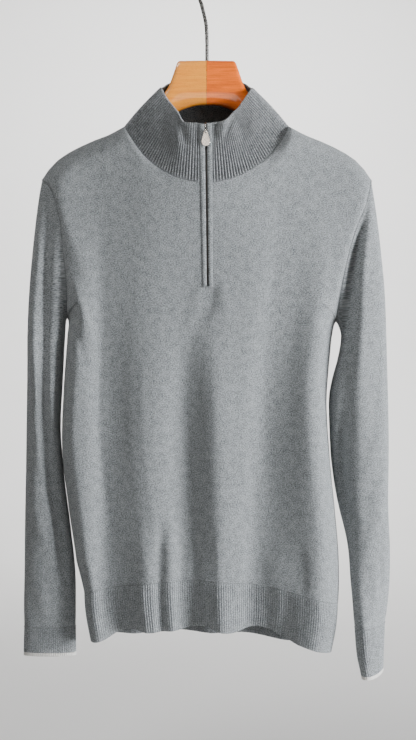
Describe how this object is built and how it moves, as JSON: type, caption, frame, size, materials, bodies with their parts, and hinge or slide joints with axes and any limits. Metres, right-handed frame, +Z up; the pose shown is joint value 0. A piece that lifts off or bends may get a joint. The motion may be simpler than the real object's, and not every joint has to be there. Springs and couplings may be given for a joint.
{
  "type": "half-zip sweater on a hanger",
  "caption": "Fine-knit half-zip pullover with ribbed stand collar, hem and tipped cuffs, hanging on a shaped wooden hanger with a wire hook.",
  "frame": {"origin": "inner top of the hook, where the rail carries it", "axes": "+Z up, the garment's front faces -Y, +X to the right of someone who looks at the front"},
  "size_m": [0.4944, 0.091, 0.9774],
  "materials": {
    "knit": "grey melange plain knit, lightly brushed, matt",
    "rib": "grey melange 1x1 rib, matt",
    "tip": "white knitted edge, matt",
    "zip_tape": "woven polyester tape, dark grey",
    "nickel": "polished nickel plate",
    "beech": "beech, orange stain under gloss varnish",
    "hook_wire": "bright plated round wire"
  },
  "bodies": {
    "garment": {"front": "knit", "back": "knit", "sleeve_left": "knit", "sleeve_right": "knit", "collar": "rib", "hem_rib_front": "rib", "hem_rib_back": "rib", "cuff_left": "rib", "cuff_right": "rib", "cuff_tip_left": "tip", "cuff_tip_right": "tip", "zip_binding_left": "rib", "zip_binding_right": "rib", "zip_tape_left": "zip_tape", "zip_tape_right": "zip_tape", "zip_slider": "nickel", "hanger_arm_left": "beech", "hanger_arm_right": "beech", "hanger_hook": "hook_wire"},
    "pull": {"zip_pull": "nickel"}
  },
  "joints": [
    {"name": "pull_swing", "type": "hinge", "parent": "garment", "child": "pull", "pos_m": [-0.00087, -0.0504, -0.2493], "axis": [-1, 0, 0], "range_deg": [0, 140]}
  ]
}
